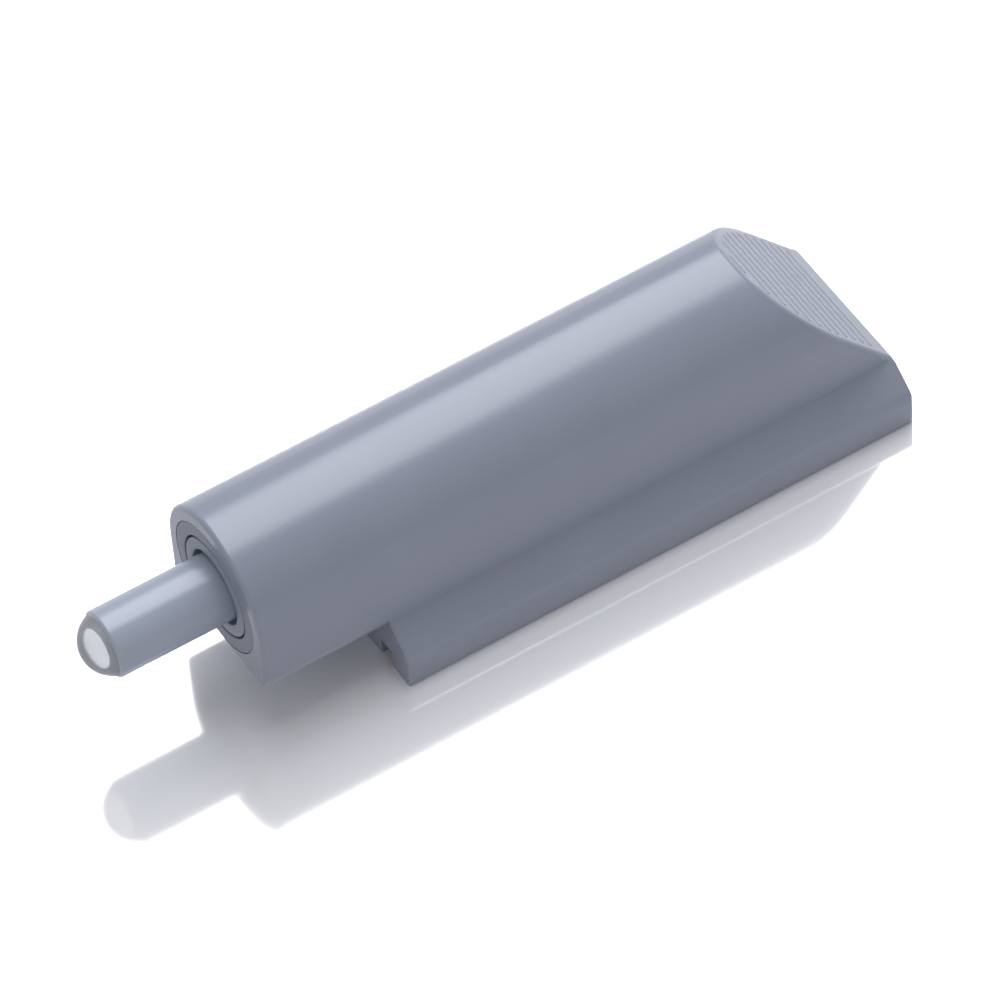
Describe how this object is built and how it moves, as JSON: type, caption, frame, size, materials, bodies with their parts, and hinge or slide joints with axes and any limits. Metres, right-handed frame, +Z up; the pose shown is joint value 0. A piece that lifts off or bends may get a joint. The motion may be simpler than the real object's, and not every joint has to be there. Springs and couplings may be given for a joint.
{
  "type": "soft close damper",
  "caption": "Push-in cabinet door damper: a moulded arch-shaped housing on a flared foot, with a sprung, oil-damped plunger that slides out of its front end.",
  "frame": {"origin": "middle of the foot's flat underside, where the housing is stuck down", "axes": "+X along the plunger's axis towards the slanted rear end, +Z up from the foot, the plunger points to -X"},
  "size_m": [0.0615, 0.0164, 0.0154],
  "materials": {
    "housing_plastic": "satin moulded blue-gray",
    "barrel_plastic": "satin moulded blue-gray",
    "bush_plastic": "satin moulded blue-gray",
    "plunger_plastic": "smooth moulded blue-gray",
    "tip_plastic": "glossy soft dome",
    "inner_plastic": "natural acetal",
    "steel": "bright drawn wire",
    "seal_rubber": "matt black",
    "foam": "fine closed-cell foam"
  },
  "bodies": {
    "casing": {"housing": "housing_plastic", "barrel": "barrel_plastic", "guide_bush": "bush_plastic", "rear_plug": "inner_plastic", "piston_rod": "steel", "piston_head": "inner_plastic", "valve_disc": "inner_plastic", "return_spring": "steel"},
    "plunger": {"plunger": "plunger_plastic", "bumper_tip": "tip_plastic", "foam_compensator": "foam", "rod_seal": "seal_rubber", "backup_washer": "inner_plastic", "end_gland": "inner_plastic"}
  },
  "joints": [
    {"name": "plunger_slide", "type": "slide", "parent": "casing", "child": "plunger", "axis": [1, 0, 0], "range_m": [0, 0.0095], "stiffness_N_per_m": 220, "springref_m": -0.005, "deforming": ["return_spring"]}
  ]
}
